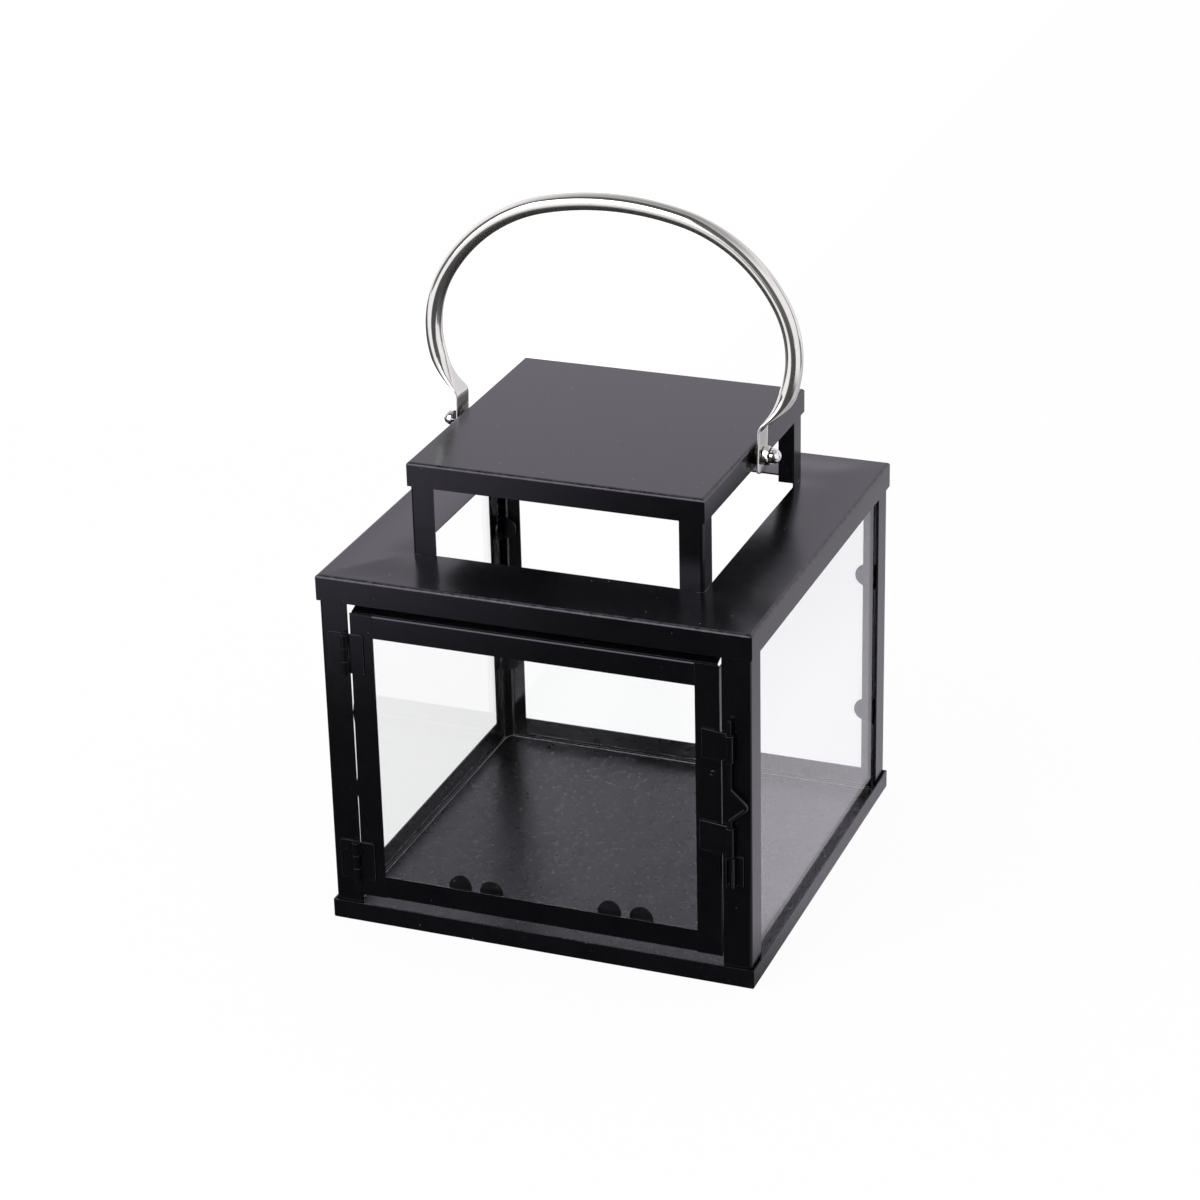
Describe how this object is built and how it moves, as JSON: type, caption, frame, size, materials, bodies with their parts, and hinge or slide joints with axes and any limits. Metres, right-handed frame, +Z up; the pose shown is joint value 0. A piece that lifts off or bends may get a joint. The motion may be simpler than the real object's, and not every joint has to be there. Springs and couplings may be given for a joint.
{
  "type": "candle lantern",
  "caption": "Square glazed sheet-steel candle lantern with a tray, a vented chimney with cap, a hinged door with a sliding wire latch, and a swinging tube handle.",
  "frame": {"origin": "centre of the underside of the tray", "axes": "+Z up, -Y towards the door side, +X towards the door's latch"},
  "size_m": [0.2006, 0.2034, 0.3182],
  "materials": {
    "black_paint": "satin",
    "handle_steel": "polished",
    "chrome": "polished",
    "glass": "clear"
  },
  "bodies": {
    "lantern_body": {"acorn_nut_left": "chrome", "acorn_nut_right": "chrome", "base_tray": "black_paint", "cap": "black_paint", "chimney_post_back_left": "black_paint", "chimney_post_back_right": "black_paint", "chimney_post_front_left": "black_paint", "chimney_post_front_right": "black_paint", "corner_post_back_left": "black_paint", "corner_post_back_right": "black_paint", "corner_post_front_left": "black_paint", "corner_post_front_right": "black_paint", "glass_back": "glass", "glass_clips_back": "black_paint", "glass_clips_left": "black_paint", "glass_clips_right": "black_paint", "glass_left": "glass", "glass_right": "glass", "handle_screw_left": "chrome", "handle_screw_right": "chrome", "handle_washer_left": "chrome", "handle_washer_right": "chrome", "hinge_leaf_post_lower": "black_paint", "hinge_leaf_post_upper": "black_paint", "hood": "black_paint", "latch_keeper": "black_paint"},
    "door": {"door_glass": "glass", "door_glass_clips": "black_paint", "door_rail_bottom": "black_paint", "door_rail_top": "black_paint", "door_stile_hinge": "black_paint", "door_stile_latch": "black_paint", "hinge_leaf_door_lower": "black_paint", "hinge_leaf_door_upper": "black_paint", "hinge_pin_lower": "black_paint", "hinge_pin_upper": "black_paint", "latch_guide_lower": "black_paint", "latch_guide_upper": "black_paint"},
    "latch_wire": {"latch_wire": "black_paint"},
    "handle": {"handle": "handle_steel"}
  },
  "joints": [
    {"name": "door_hinge", "type": "hinge", "parent": "lantern_body", "child": "door", "pos_m": [-0.0871, -0.101, 0.0838], "axis": [0, 0, -1], "range_deg": [0, 180]},
    {"name": "latch_slide", "type": "slide", "parent": "door", "child": "latch_wire", "axis": [0, 0, 1], "range_m": [0, 0.0122]},
    {"name": "handle_pivot", "type": "hinge", "parent": "lantern_body", "child": "handle", "pos_m": [0, 0, 0.2086], "axis": [1, 0, 0], "range_deg": [-104, 113]}
  ]
}
